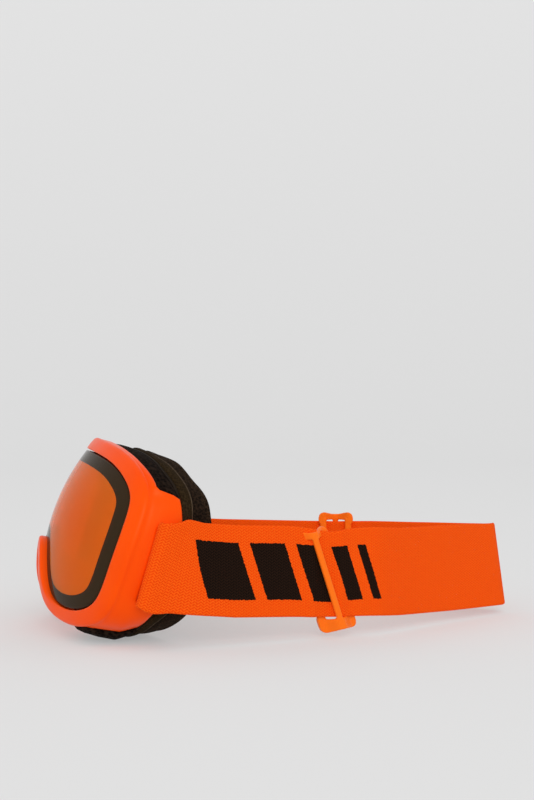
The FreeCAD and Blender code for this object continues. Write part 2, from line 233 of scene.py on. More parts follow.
def face_depth(x, up, ahead=0.0):
    """Depth of the foam's rear face, which meets the wearer."""
    return FACE_FRONT - ahead + FACE_CURVE * x ** 2 - SEAT_LEAN * up


def head_xy(growth, back):
    """Where the head's tapering wall stands, at each step of the outline."""
    growth = np.broadcast_to(growth, AROUND)
    taper = growth - SHELL_TAPER * np.maximum(back, -10.0)
    x = OUTLINE[:, 0] + OUT[:, 0] * taper
    up = OUTLINE[:, 1] + OUT[:, 1] * taper
    x = x * (1.0 - SIDE_TAPER * np.maximum(0.0, back - SIDE_TAPER_START))
    rise = RISE_LOW + (RISE_TOP - RISE_LOW) * smooth(OUTLINE[:, 1], -25.0, 25.0)
    return x, up + rise * np.maximum(0.0, back - FACE_RISE_START)


def mesh_from_grid(name, grid, close_rows=False, close_cols=False, uv=None):
    """Smooth quad mesh from a grid of points [row, column, xyz], with an optional UV per point."""
    rows, cols = grid.shape[:2]
    row_steps = rows if close_rows else rows - 1
    col_steps = cols if close_cols else cols - 1
    faces = []
    for row in range(row_steps):
        for col in range(col_steps):
            a = row * cols + col
            b = row * cols + (col + 1) % cols
            c = (row + 1) % rows * cols + (col + 1) % cols
            d = (row + 1) % rows * cols + col
            faces.append((a, b, c, d))
    mesh = bpy.data.meshes.new(name)
    mesh.from_pydata(grid.reshape(-1, 3).tolist(), [], faces)
    if uv is not None:
        layer = mesh.uv_layers.new(name="UVMap")
        flat = uv.reshape(-1, 2)
        picked = np.array([loop.vertex_index for loop in mesh.loops])
        layer.data.foreach_set("uv", flat[picked].astype(np.float32).ravel())
    piece = bpy.data.objects.new(name, mesh)
    bpy.context.scene.collection.objects.link(piece)
    mesh.update()
    mesh.validate()
    for polygon in mesh.polygons:
        polygon.use_smooth = True
    return piece


def face_outwards(piece):
    """Make a closed mesh's normals point out of it."""
    work = bmesh.new()
    work.from_mesh(piece.data)
    bmesh.ops.recalc_face_normals(work, faces=work.faces)
    work.to_mesh(piece.data)
    work.free()
    return piece


def ring(name, section):
    """Closed ring round the head: section is a list of (x, depth, up), each with a value per step."""
    rows = [place(x, depth, up) for x, depth, up in section]
    return face_outwards(mesh_from_grid(name, np.array(rows), close_rows=True, close_cols=True))


def swept_ring(name, section):
    """Ring that follows the head's wall: section is a list of (growth, depth) with depth per step."""
    spots = []
    for growth, depth in section:
        x, up = head_xy(growth, depth)
        spots.append((x, depth, up))
    return ring(name, spots)


def cap_ends(piece, rows, cols):
    """Close both ends of a strip whose rows run round its section."""
    work = bmesh.new()
    work.from_mesh(piece.data)
    work.verts.ensure_lookup_table()
    ends = [[work.verts[row * cols + col].co.copy() for row in range(rows)] for col in (0, cols - 1)]
    for corners in ends:
        work.faces.new([work.verts.new(corner) for corner in corners])
    bmesh.ops.recalc_face_normals(work, faces=work.faces)
    work.to_mesh(piece.data)
    work.free()


def join(piece, others):
    """Add other pieces' meshes to a piece and remove them."""
    work = bmesh.new()
    for each in [piece] + others:
        work.from_mesh(each.data)
    work.to_mesh(piece.data)
    work.free()
    for other in others:
        bpy.data.objects.remove(other)


def apply_modifiers(piece):
    """Turn a piece's modifiers into its own mesh."""
    graph = bpy.context.evaluated_depsgraph_get()
    made = bpy.data.meshes.new_from_object(piece.evaluated_get(graph))
    piece.modifiers.clear()
    piece.data = made


def rounded_box(name, low, high, radius):
    """Box in the head's frame with rounded edges, from its low to its high corner."""
    work = bmesh.new()
    bmesh.ops.create_cube(work, size=1.0)
    low = np.array(low, float)
    high = np.array(high, float)
    for vertex in work.verts:
        spot = (low + high) / 2 + np.array(vertex.co) * (high - low)
        vertex.co = spot.tolist()
    bmesh.ops.bevel(work, geom=work.edges[:], offset=radius, segments=4, profile=0.5, affect="EDGES")
    for vertex in work.verts:
        vertex.co = place(*vertex.co).tolist()
    bmesh.ops.recalc_face_normals(work, faces=work.faces)
    mesh = bpy.data.meshes.new(name)
    work.to_mesh(mesh)
    work.free()
    for polygon in mesh.polygons:
        polygon.use_smooth = True
    box = bpy.data.objects.new(name, mesh)
    bpy.context.scene.collection.objects.link(box)
    return box


def resample(points, step):
    """Points along the same line, one every step, and their running length."""
    run = running_length(points)
    wanted = np.linspace(0, run[-1], int(run[-1] / step) + 2)
    return points_along(points, run, wanted), wanted


# ---- materials -----------------------------------------------------------------------------------
# Sockets of the Mix node for colours, which share their names with those for other data.
MIX_FACTOR = 0
MIX_FIRST = 6
MIX_SECOND = 7
MIX_RESULT = 2


class Material:
    """A node material with a principled shader and short calls to add what feeds it."""

    def __init__(self, name, base, roughness, **sockets):
        self.material = bpy.data.materials.new(name)
        self.material.use_nodes = True
        self.tree = self.material.node_tree
        self.shader = self.tree.nodes["Principled BSDF"]
        self.set(Base_Color=(*base, 1.0), Roughness=roughness, **sockets)

    def set(self, **sockets):
        """Set sockets of the principled shader, named with _ for a space."""
        for name, value in sockets.items():
            self.shader.inputs[name.replace("_", " ")].default_value = value

    def node(self, kind, **properties):
        made = self.tree.nodes.new(kind)
        for name, value in properties.items():
            setattr(made, name, value)
        return made

    def link(self, source, output, target, socket):
        self.tree.links.new(source.outputs[output], target.inputs[socket])

    def noise(self, scale, detail=3.0, roughness=0.5):
        made = self.node("ShaderNodeTexNoise")
        made.inputs["Scale"].default_value = scale
        made.inputs["Detail"].default_value = detail
        made.inputs["Roughness"].default_value = roughness
        self.link(self.node("ShaderNodeTexCoord"), "Object", made, "Vector")
        return made

    def surface_uv(self):
        """The mesh's own UV, which is in metres on this part, split into X and Y."""
        parts = self.node("ShaderNodeSeparateXYZ")
        self.link(self.node("ShaderNodeTexCoord"), "UV", parts, "Vector")
        return parts

    def ramp(self, source, output, stops):
        """Colour between two stops (position, colour) by one value."""
        made = self.node("ShaderNodeValToRGB")
        for element, (position, colour) in zip(made.color_ramp.elements, stops):
            element.position = position
            element.color = (*colour, 1.0)
        self.link(source, output, made, "Fac")
        return made

    def math(self, operation, first, second=0.0, third=0.0):
        """Math node on numbers or (node, output) pairs, returned as such a pair."""
        made = self.node("ShaderNodeMath", operation=operation)
        for index, value in enumerate((first, second, third)):
            if isinstance(value, tuple):
                self.link(value[0], value[1], made, index)
            else:
                made.inputs[index].default_value = value
        return (made, "Value")

    def mix(self, factor, first, second):
        """Mix of two colours, each a plain colour or a (node, output), by a (node, output)."""
        made = self.node("ShaderNodeMix", data_type="RGBA")
        self.link(factor[0], factor[1], made, MIX_FACTOR)
        for socket, value in ((MIX_FIRST, first), (MIX_SECOND, second)):
            if len(value) == 2:
                self.link(value[0], value[1], made, socket)
            else:
                made.inputs[socket].default_value = (*value, 1.0)
        return (made, MIX_RESULT)

    def bump(self, height, strength, distance):
        made = self.node("ShaderNodeBump")
        made.inputs["Strength"].default_value = strength
        made.inputs["Distance"].default_value = distance
        self.link(height[0], height[1], made, "Height")
        self.link(made, "Normal", self.shader, "Normal")

    def base_colour(self, source, output):
        self.link(source, output, self.shader, "Base Color")

    def toned(self, source, output, stops):
        """Base colour from a ramp over one value."""
        self.base_colour(self.ramp(source, output, stops), "Color")


def moulded_orange(name, base, deeper):
    """Glossy moulded thermoplastic: faint mottling, fine orange peel and scuffed roughness."""
    made = Material(name, base, 0.3, IOR=1.3, Specular_Tint=(1.0, 0.5, 0.25, 1.0),
                    Subsurface_Weight=0.05, Subsurface_Radius=(0.006, 0.0015, 0.0005), Subsurface_Scale=1.0)
    cloud = made.noise(45.0, 4.0)
    made.toned(cloud, "Fac", [(0.3, deeper), (0.7, base)])
    scuff = made.noise(260.0, 5.0)
    rough = made.node("ShaderNodeMapRange")
    rough.inputs["To Min"].default_value = 0.24
    rough.inputs["To Max"].default_value = 0.4
    made.link(scuff, "Fac", rough, "Value")
    made.link(rough, "Result", made.shader, "Roughness")
    peel = made.noise(900.0, 2.0)
    made.bump((peel, "Fac"), 0.08, 0.0002)
    return made.material


def lens_tint():
    """Orange polycarbonate that half shows the interior, and dark where it is bonded to the spacer."""
    made = Material("lens_tint", (1.0, 0.2, 0.02), 0.03, IOR=1.15, Specular_Tint=(1.0, 0.6, 0.35, 1.0))
    haze = made.noise(24.0, 3.0)
    tone = made.ramp(haze, "Fac", [(0.25, (1.0, 0.19, 0.01)), (0.75, (1.0, 0.24, 0.02))])
    parts = made.surface_uv()
    bonded = made.math("LESS_THAN", (parts, "X"), (SPACER_WIDTH - 0.1) * MM)
    colour = made.mix(bonded, (tone, "Color"), (0.042, 0.026, 0.013))
    made.base_colour(*colour)
    clear = made.math("MULTIPLY_ADD", bonded, -0.35, 0.54)
    made.link(clear[0], clear[1], made.shader, "Transmission Weight")
    return made.material


def clear_lens():
    """Clear polycarbonate of the inner lens."""
    made = Material("clear_lens", (1.0, 0.95, 0.9), 0.04, IOR=1.1, Transmission_Weight=1.0)
    return made.material


def foam_material(name, dark, light, cells, depth):
    """Open-cell foam: pores of two sizes in colour and height."""
    made = Material(name, light, 0.95, Specular_IOR_Level=0.03)
    pores = made.node("ShaderNodeTexVoronoi", feature="F1")
    pores.inputs["Scale"].default_value = cells
    made.link(made.node("ShaderNodeTexCoord"), "Object", pores, "Vector")
    grain = made.noise(cells * 0.6, 5.0)
    blend = made.math("MULTIPLY", (pores, "Distance"), (grain, "Fac"))
    made.toned(*blend, [(0.08, dark), (0.4, light)])
    made.bump(blend, 0.8, depth)
    return made.material


def fleece_material(name, dark, light):
    """Short-pile fleece: speckled tufts with a little warm sheen."""
    made = Material(name, dark, 1.0, Specular_IOR_Level=0.02, Sheen_Weight=0.06, Sheen_Roughness=0.5,
                    Sheen_Tint=(0.5, 0.36, 0.24, 1.0))
    tufts = made.noise(2200.0, 4.0, roughness=0.7)
    clumps = made.noise(1000.0, 3.0)
    mixed = made.math("MULTIPLY", (tufts, "Fac"), (clumps, "Fac"))
    made.toned(*mixed, [(0.18, dark), (0.38, light)])
    made.bump(mixed, 0.9, 0.0006)
    return made.material


def dark_plastic(name, dark, light):
    """Matt dark plastic or rubber with a fine grain."""
    made = Material(name, dark, 0.7, Specular_IOR_Level=0.08)
    grain = made.noise(700.0, 3.0)
    made.toned(grain, "Fac", [(0.3, dark), (0.7, light)])
    made.bump((grain, "Fac"), 0.3, 0.0002)
    return made.material


def webbing_material():
    """Woven elastic: fine zigzag ribs in colour and height, and a row of printed slanted bars."""
    made = Material("webbing", (0.95, 0.1, 0.005), 0.85, Specular_IOR_Level=0.04, Sheen_Weight=0.04,
                    Sheen_Roughness=0.4, Sheen_Tint=(1.0, 0.45, 0.2, 1.0))
    parts = made.surface_uv()
    along = (parts, "X")
    across = (parts, "Y")
    zigzag = made.math("PINGPONG", along, WEAVE_PITCH)
    slanted = made.math("ADD", across, made.math("MULTIPLY", zigzag, 0.9))
    ribs = made.math("SINE", made.math("MULTIPLY", slanted, 2 * math.pi / RIB_PITCH))
    picks = made.math("SINE", made.math("MULTIPLY", along, 2 * math.pi / WEAVE_PITCH))
    fuzz = made.noise(2600.0, 3.0)
    weave = made.math("MULTIPLY_ADD", ribs, 0.3, made.math("MULTIPLY_ADD", picks, 0.12, (fuzz, "Fac")))
    tone = made.ramp(weave[0], weave[1], [(0.2, (0.86, 0.056, 0.001)), (0.8, (1.0, 0.125, 0.006))])
    wander = made.math("MULTIPLY", made.math("SUBTRACT", (made.noise(1300.0, 2.0), "Fac"), 0.5), 0.0011)
    slant = made.math("ADD", made.math("MULTIPLY_ADD", across, PRINTED_SLANT, along), wander)
    block = made.math("COMPARE", slant, PRINTED_BARS[0][0], PRINTED_BARS[0][1])
    for middle, half in PRINTED_BARS[1:]:
        block = made.math("ADD", block, made.math("COMPARE", slant, middle, half))
    band = made.math("COMPARE", made.math("ADD", across, wander), 0.0, PRINTED_HALF_HEIGHT)
    printed = made.math("MULTIPLY", block, band)
    black = made.ramp(weave[0], weave[1], [(0.2, (0.006, 0.003, 0.002)), (0.8, (0.02, 0.009, 0.005))])
    colour = made.mix(printed, (tone, "Color"), (black, "Color"))
    made.base_colour(*colour)
    made.bump(weave, 0.7, 0.0003)
    return made.material


FRAME_ORANGE = moulded_orange("frame_orange", (1.0, 0.085, 0.001), (0.95, 0.072, 0.001))
# The sliders' orange is lighter and yellower than the frame's: partly the sliders' own plastic, partly
# painted light standing in for the brighter light on the far slider.
SLIDER_ORANGE = moulded_orange("slider_orange", (1.0, 0.19, 0.012), (1.0, 0.17, 0.008))
LENS = lens_tint()
LENS_CLEAR = clear_lens()
FLANGE = dark_plastic("dark_flange", (0.01, 0.006, 0.003), (0.022, 0.013, 0.007))
SPACER_FOAM = dark_plastic("spacer", (0.03, 0.02, 0.01), (0.06, 0.042, 0.024))
BASE_FOAM = foam_material("base_foam", (0.012, 0.007, 0.003), (0.035, 0.021, 0.009), 1400.0, 0.0004)
SEAM = dark_plastic("foam_seam", (0.05, 0.032, 0.018), (0.09, 0.06, 0.035))
VENT_FOAM = foam_material("vent_foam", (0.002, 0.001, 0.001), (0.02, 0.012, 0.008), 700.0, 0.0008)
FLEECE_SIDE = fleece_material("fleece_side", (0.006, 0.004, 0.003), (0.035, 0.02, 0.012))
FLEECE = fleece_material("fleece", (0.008, 0.005, 0.003), (0.05, 0.03, 0.018))
WEBBING = webbing_material()


def finish_piece(piece, material, body, slot, *nodes):
    """Give a piece its material and body, and let it replace its CAD nodes; the slot argument is not used.
    """
    piece.data.materials.append(material)
    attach(piece, body)
    if nodes:
        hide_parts(*nodes)
    return piece


# ---- frame shell ---------------------------------------------------------------------------------
def vent_cut(x, up):
    """How deep the vent openings cut into the frame's rear edge, with soft ends.

    The upper opening runs across the whole top.  A lower one stands each side of the nose.
    """
    out = np.abs(x)
    top = smooth(up, *TOP_VENT_FLOOR) * (1 - smooth(out, *TOP_VENT_END))
    low = smooth(out, *LOW_VENT_START) * (1 - smooth(out, *LOW_VENT_END))
    low = low * (1 - smooth(up, *LOW_VENT_CEILING))
    return TOP_VENT_DEPTH * top + LOW_VENT_DEPTH * low


def rear_edge():
    """Depth of the frame's rear edge at each step of the outline, with the vent openings."""
    x, up = head_xy(RIM_WIDTH, np.zeros(AROUND))
    return seat_depth(x, up) - vent_cut(x, up)


def rim_crest():
    """How far the rim stands in front of the lens: nearly flush, and proud over the nose."""
    near_nose = 1 - smooth(np.abs(OUTLINE[:, 0]), 16.0, 44.0)
    below = 1 - smooth(OUTLINE[:, 1], -6.0, 14.0)
    return RIM_FLUSH + RIM_AT_NOSE * near_nose * below


# Section of the rim from its lip on the lens to its outer edge: (growth of the outline, how far in
# front of the lens surface, share of the rim's crest).
RIM_PROFILE = [(-1.0, -1.8, 0.0), (-1.0, -0.5, 0.3), (-0.85, -0.15, 0.7), (-0.4, -0.03, 0.95),
               (0.4, 0.0, 1.0), (1.8, 0.05, 1.0), (3.2, 0.05, 1.0), (4.2, 0.0, 1.0), (4.8, -0.2, 1.0),
               (5.15, -0.6, 1.0), (5.3, -1.2, 1.0), (5.2, -1.8, 1.0), (5.1, -2.4, 1.0)]


def frame_shell():
    """The moulded frame: rim, side wall, rear edge and inside in one closed ring, then slots and bars."""
    crest = rim_crest()
    section = []
    for growth, step, share in RIM_PROFILE:
        spot = OUTLINE + OUT * growth
        section.append((growth, lens_depth(spot[:, 0], spot[:, 1]) - step - crest * share))
    start = section[-1][1]
    end = np.maximum(rear_edge(), start + 3.0)
    rim_edge = RIM_PROFILE[-1][0]
    # Outside of the wall, which flares quickly behind the rim.
    for share in np.linspace(0.08, 0.92, 12):
        flare = rim_edge + (RIM_WIDTH - rim_edge) * math.sin(math.pi / 2 * share) ** 0.8
        section.append((flare, start + (end - 0.7 - start) * share))
    # Rounded rear edge, then the inside of the wall.
    inner = RIM_WIDTH - SHELL_WALL
    for growth, ahead in ((RIM_WIDTH, 0.7), (RIM_WIDTH - 0.3, 0.2), (RIM_WIDTH - 0.9, 0.0),
                          (inner + 0.6, 0.1), (inner, 0.8)):
        section.append((growth, end - ahead))
    for share in (0.25, 0.5, 0.75, 1.0):
        section.append((inner, end - 0.8 - (end - 0.8 - start - 4.2) * share))
    section.append((inner - 1.5, start + 3.0))
    # Ledge behind the lens.
    edge = OUTLINE - OUT
    for growth, behind in ((-0.4, 6.6), (-1.0, 6.2), (-1.0, 4.0)):
        section.append((growth, lens_depth(edge[:, 0], edge[:, 1]) + behind))
    piece = swept_ring("frame_shell_moulded", section)
    for side in (1, -1):
        cut_slot(piece, side)
    join(piece, [bar_with_lugs(side) for side in (1, -1)])
    finish_piece(piece, FRAME_ORANGE, "head", "frame", "frame_shell")


def cut_slot(piece, side):
    """Cut the opening for one end of the strap through the frame's side wall."""
    near, far = sorted((side * SLOT_INSIDE, side * SLOT_OUTSIDE))
    cutter = rounded_box("slot_cutter", (near, SLOT_FRONT, -SLOT_HALF), (far, SLOT_REAR, SLOT_HALF), 1.5)
    modifier = piece.modifiers.new("slot", "BOOLEAN")
    modifier.operation = "DIFFERENCE"
    modifier.object = cutter
    modifier.solver = "EXACT"
    apply_modifiers(piece)
    bpy.data.objects.remove(cutter)


def bar_with_lugs(side):
    """Upright bar that the strap turns round, with a rounded lug at each end."""
    turns = np.linspace(0, 2 * math.pi, 28, endpoint=False)
    x = side * BAR_OUT + BAR_RADIUS * np.cos(turns)
    back = BAR_BACK + BAR_RADIUS * np.sin(turns)
    rows = [place(x, back, up) for up in np.linspace(-SLOT_HALF - 0.5, SLOT_HALF + 0.5, 12)]
    bar = face_outwards(mesh_from_grid("bar", np.array(rows), close_cols=True))
    lugs = []
    for end in (1, -1):
        near, far = sorted((side * LUG_INSIDE, side * (BAR_OUT + BAR_RADIUS + 0.4)))
        low, high = sorted((end * (SLOT_HALF - 0.2), end * (SLOT_HALF + 0.9)))
        front = BAR_BACK - LUG_HALF_DEPTH
        lugs.append(rounded_box("lug", (near, front, low), (far, front + 2 * LUG_HALF_DEPTH, high), 1.0))
    join(bar, lugs)
    return bar


# ---- lens ----------------------------------------------------------------------------------------
def edge_distance(spots, edge):
    """Shortest distance in metres from each spot to the lens edge."""
    return np.linalg.norm(spots[:, None, :] - edge[None, :, :], axis=2).min(axis=1) * MM


def dome(name, radius, thickness):
    """Spherical lens inside the lens outline, with its edge wall and UV.x as the distance from its edge."""
    edge = OUTLINE - OUT * LENS_GAP
    middle = np.array([0.0, LENS_MIDDLE_UP])
    front = []
    back = []
    away = []
    for share in np.linspace(1.0, 0.02, 60):
        spot = middle + (edge - middle) * share
        x, up = spot[:, 0], spot[:, 1]
        front.append(place(x, lens_depth(x, up, radius), up))
        back.append(place(x, lens_depth(x, up, radius - thickness), up))
        away.append(edge_distance(spot, edge))
    grid = np.array(front[::-1] + back)
    away = np.array(away[::-1] + away)
    piece = mesh_from_grid(name, grid, close_cols=True, uv=np.stack([away, away * 0], axis=-1))
    work = bmesh.new()
    work.from_mesh(piece.data)
    work.verts.ensure_lookup_table()
    count = len(work.verts)
    layer = work.loops.layers.uv.active
    for innermost in (range(AROUND), range(count - AROUND, count)):
        cap = work.faces.new([work.verts[index] for index in innermost])
        cap.smooth = True
        for loop in cap.loops:
            loop[layer].uv = (LENS_RADIUS * MM, 0.0)
    bmesh.ops.recalc_face_normals(work, faces=work.faces)
    work.to_mesh(piece.data)
    work.free()
    return piece


def lens_parts():
    """Outer lens, inner lens and the spacer ring between them."""
    outer = dome("lens_outer_dome", LENS_RADIUS, OUTER_LENS)
    finish_piece(outer, LENS, "head", "lens", "lens_outer")
    inner = dome("lens_inner_dome", LENS_RADIUS - OUTER_LENS - SPACER, INNER_LENS)
    finish_piece(inner, LENS_CLEAR, "head", "lens_clear", "lens_inner")
    section = []
    outside = -LENS_GAP - 0.1
    inside = outside - SPACER_WIDTH
    for growth, depth in ((outside, 0.06), (inside + 0.3, 0.06), (inside, 0.5), (inside, SPACER - 0.6),
                          (inside + 0.4, SPACER - 0.1), (outside, SPACER - 0.1)):
        spot = OUTLINE + OUT * growth
        x, up = spot[:, 0], spot[:, 1]
        section.append((x, lens_depth(x, up, LENS_RADIUS - OUTER_LENS) + depth, up))
    finish_piece(ring("lens_spacer_ring", section), SPACER_FOAM, "head", "spacer", "lens_spacer")


# ---- face foam -----------------------------------------------------------------------------------
def pad_ring(name, front, rear, outer, inner, crown):
    """Foam ring between two depth functions, with sides that bulge by crown and rounded edges."""
    def depth_at(growth, share):
        depth = np.zeros(AROUND)
        for _ in range(3):
            x, up = head_xy(growth, depth)
            depth = front(x, up) * (1 - share) + rear(x, up) * share
        return depth
    section = []
    for turn in np.linspace(0.04, 0.96, 7):
        bulge = crown * math.sin(math.pi * turn)
        section.append((outer + bulge, depth_at(outer, turn)))
    for share in (0.06, 0.25, 0.5, 0.75, 0.94):
        growth = outer + (inner - outer) * share
        swell = 0.6 * crown * math.sin(math.pi * share)
        section.append((growth, depth_at(growth, 1.0) + swell))
    for turn in np.linspace(0.96, 0.04, 7):
        bulge = crown * math.sin(math.pi * turn)
        section.append((inner - bulge, depth_at(inner, turn)))
    for share in (0.94, 0.5, 0.06):
        section.append((outer + (inner - outer) * share, depth_at(outer, 0.0)))
    return swept_ring(name, section)


def seat_at(behind):
    """Depth function this far behind the foam's seat."""
    return lambda x, up: seat_depth(x, up, behind)


def face_at(ahead):
    """Depth function this far in front of the foam's rear face."""
    return lambda x, up: face_depth(x, up, ahead)


def face_parts():
    """The layers behind the frame: flange, base foam, a thin seam, comfort foam and fleece."""
    outer = FACE_WIDTH - 0.2 + 0.7 * smooth(OUTLINE[:, 1], 15.0, 32.0)
    inner = outer - FOAM_WIDTH
    upper_corner = smooth(OUTLINE[:, 1], 8.0, 24.0) * smooth(np.abs(OUTLINE[:, 0]), 35.0, 55.0)
    rounded = outer - CORNER_DROP * upper_corner
    flange = pad_ring("face_flange_edge", seat_at(0.05), seat_at(1.5), outer - 0.7, inner + 1, 0.0)
    finish_piece(flange, FLANGE, "head", "flange", "face_flange")
    base = pad_ring("foam_base_layer", seat_at(1.3), seat_at(6.6), outer - 0.4, inner, 0.6)
    finish_piece(base, BASE_FOAM, "head", "foam", "foam_base")
    seam = pad_ring("foam_seam_line", seat_at(6.3), seat_at(7.0), outer - 0.35, inner + 0.4, 0.2)
    finish_piece(seam, SEAM, "head", "foam", "foam_base")
    comfort = pad_ring("foam_comfort_layer", seat_at(6.9), face_at(1.3), rounded - 0.5, inner, 0.8)
    finish_piece(comfort, FLEECE_SIDE, "head", "foam", "foam_comfort")
    fleece = pad_ring("fleece_face", face_at(3.0), face_at(0.1), rounded - 0.2, inner - 0.2, 0.45)
    finish_piece(fleece, FLEECE, "head", "fleece", "fleece_lining")


# Section of a vent foam strip: (distance inside the foam's outline, share of its depth).
VENT_PROFILE = [(2.0, 0.0), (1.1, 0.06), (0.5, 0.2), (0.1, 0.5), (0.1, 0.85), (0.5, 1.0), (3.5, 1.0),
                (5.0, 1.0), (5.0, 0.5), (5.0, 0.0)]


def vent_foam(node, sign, top):
    """Strip of open-cell foam in one vent opening, following the frame's outline."""
    x, up = head_xy(FACE_WIDTH, np.zeros(AROUND))
    cut = vent_cut(x, up)
    inside = (cut > 0.6) & vent_half(x, sign, top)
    first = next(index for index in range(AROUND) if inside[index] and not inside[index - 1])
    columns = [(first + step) % AROUND for step in range(int(inside.sum()))]
    ahead = seat_depth(x, up) - cut - 0.3
    behind = seat_depth(x, up) + 0.05
    rows = []
    for inside_by, share in VENT_PROFILE:
        depth = ahead + (behind - ahead) * share
        across, high = head_xy(FACE_WIDTH - inside_by, depth)
        rows.append(place(across, depth, high)[columns])
    grid = np.array(rows)
    piece = mesh_from_grid(node + "_strip", grid, close_rows=True)
    cap_ends(piece, grid.shape[0], grid.shape[1])
    finish_piece(piece, VENT_FOAM, "head", "vent_foam", node)


def vent_foams():
    """One strip in each half of each row of vents."""
    for side, sign in (("left", 1), ("right", -1)):
        for level in ("top", "bottom"):
            vent_foam("vent_foam_" + level + "_" + side, sign, level == "top")


def vent_half(x, sign, top):
    """Steps of the outline on one side of the middle, in its upper or lower part."""
    up = head_xy(RIM_WIDTH, np.zeros(AROUND))[1]
    return (x * sign > -0.1) & ((up > 0) == top)


# ---- strap ---------------------------------------------------------------------------------------
def half_plan(side):
    """Centre line of one half of the strap from its bar to the fold, and its running length."""
    corner = np.array(PLAN_CORNER[side])
    fold = np.array([0.0, FOLD_BACK])
    points = [np.array([PLAN_START, 0.0])]
    for spot, after, bend in ((corner, fold, CORNER_RADIUS), (fold, corner * (-1, 1), FOLD_RADIUS)):
        arriving = (spot - points[-1]) / np.linalg.norm(spot - points[-1])
        leaving = (after - spot) / np.linalg.norm(after - spot)
        half_turn = math.acos(float(arriving @ leaving)) / 2
        first = spot - arriving * bend * math.tan(half_turn)
        middle = first + np.array([-arriving[1], arriving[0]]) * bend
        arm = first - middle
        for turn in np.linspace(0, 2 * half_turn, 25):
            spun = (arm[0] * math.cos(turn) - arm[1] * math.sin(turn),
                    arm[0] * math.sin(turn) + arm[1] * math.cos(turn))
            points.append(middle + spun)
    points = np.array([point for point in points if point[0] > 0.0])
    middle_back = FOLD_BACK - fold_drop(corner)
    points = np.vstack([points, [[0.0, middle_back]]])
    points[:, 1] += (FOLD_MIDDLE - middle_back) * (1 - smooth(points[:, 0], 0.0, 30.0))
    run = running_length(points)
    wanted = np.linspace(0, run[-1], 230)
    return points_along(points, run, wanted), wanted


def fold_drop(corner):
    """How far the rounded fold stays short of its corner point."""
    slope = math.atan2(corner[0], FOLD_BACK - corner[1])
    return FOLD_RADIUS / math.sin(slope) - FOLD_RADIUS


def strap_height(side, back):
    """Height of the strap's middle and half its width; by its bar it leans with the head."""
    table = np.array(STRAP_SIDE[side], float)
    height = np.interp(back, table[:, 0], table[:, 1])
    half = np.interp(back, table[:, 0], table[:, 2])
    by_bar = 1 - smooth(back, 3.0, 14.0)
    leaning = BARS.z / MM - back * math.tan(HEAD_LEAN)
    return height * (1 - by_bar) + leaning * by_bar, half


def slider_swell(side, back):
    """The strap rides a little outwards over the two rails of a slider at rest."""
    middle = SLIDERS[side][0]
    over_rails = np.exp(-((np.abs(back - middle) - 7.0) / 3.0) ** 2)
    return 0.9 * over_rails


def ribbon_mesh(name, centre, run, shift, height, half, lean, flip=1):
    """Woven ribbon along a plan line, with soft rounded edges and a UV in metres.

    shift moves it out of the line, lean tips it back, and flip is -1 for a line that runs the other
    way.  The UV of its inner face stands far from the printed bars.
    """
    rim = np.array([-1.0, -0.993, -0.975, -0.95, -0.9] + list(np.linspace(-0.8, 0.8, 13))
                   + [0.9, 0.95, 0.975, 0.993, 1.0])
    thin = np.sqrt(np.clip(1 - np.clip((np.abs(rim) - 0.955) / 0.045, 0, 1) ** 2, 0.08, 1))
    across = np.concatenate([rim, rim[::-1]])
    push = np.concatenate([thin, -thin[::-1]]) * WEB_THICK / 2
    uv_offset = np.concatenate([np.zeros(len(rim)), np.full(len(rim), 0.2)])
    along = np.gradient(centre, axis=0)
    along /= np.linalg.norm(along, axis=1)[:, None]
    out = np.column_stack([along[:, 1], -along[:, 0]]) * flip
    offset = push[:, None] + shift[None, :]
    rise = across[:, None] * half[None, :]
    x = centre[None, :, 0] + out[None, :, 0] * offset
    y = centre[None, :, 1] + out[None, :, 1] * offset + rise * np.sin(lean)[None, :]
    z = height[None, :] + rise * np.cos(lean)[None, :]
    grid = np.stack([x * MM + BARS.x, y * MM + BARS.y, z * MM], axis=-1)
    uv = np.stack(np.broadcast_arrays(run[None, :] * MM, rise * MM + uv_offset[:, None]), axis=-1)
    piece = mesh_from_grid(name, grid, close_rows=True, uv=uv)
    cap_ends(piece, grid.shape[0], grid.shape[1])
    return piece


def strap_neck(side):
    """Sewn tail, loop round the bar and neck in one ribbon between head and strap."""
    plan, plan_run = half_plan(side)
    forward = (plan[0] - plan[10]) / np.linalg.norm(plan[0] - plan[10])
    normal = np.array([-forward[1], forward[0]])
    # Outer layer, the inner one that runs back to its sewn end, and the loop between them.
    backs = np.linspace(BAR_BACK, NECK_END, 60)
    outer = np.column_stack([np.interp(backs, plan[:, 1], plan[:, 0]), backs])
    gap = LAYER_GAP + (2 * LOOP_RADIUS - LAYER_GAP) * (1 - smooth(backs - BAR_BACK, 0.0, 11.0))
    inner = (outer - normal * gap[:, None])[::-1]
    middle = outer[0] - normal * LOOP_RADIUS
    turns = np.linspace(0, math.pi, 24)[1:-1]
    loop = middle + LOOP_RADIUS * (-normal * np.cos(turns)[:, None] + forward * np.sin(turns)[:, None])
    line, length = resample(np.vstack([inner, loop, outer]), 0.7)
    # The running length continues that of the long run, so that the weave does too.
    last = float(np.interp(NECK_END, plan[:, 1], plan_run))
    run = length - length[-1] + last
    back = np.maximum(line[:, 1], 0.0)
    height, half = strap_height(side, back)
    lean = HEAD_LEAN * (1 - smooth(line[:, 1], 5.0, NECK_END - 3))
    half = half - 0.35 * smooth(-run, 2.0, 12.0)
    if side == "right":
        line = line * (-1, 1)
        run = half_plan("left")[1][-1] + plan_run[-1] - run
    flip = 1 if side == "left" else -1
    piece = ribbon_mesh("strap_neck_loop_" + side, line, run, np.zeros(len(line)), height, half, lean, flip)
    piece.data.materials.append(WEBBING)
    place(0.0, BAR_BACK + 0.6, 0.0)
    place(0.0, NECK_END - 6.5, 0.0)
    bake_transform(piece)
    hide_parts("strap_neck_" + side, "strap_tail_" + side, "strap_loop_" + side)


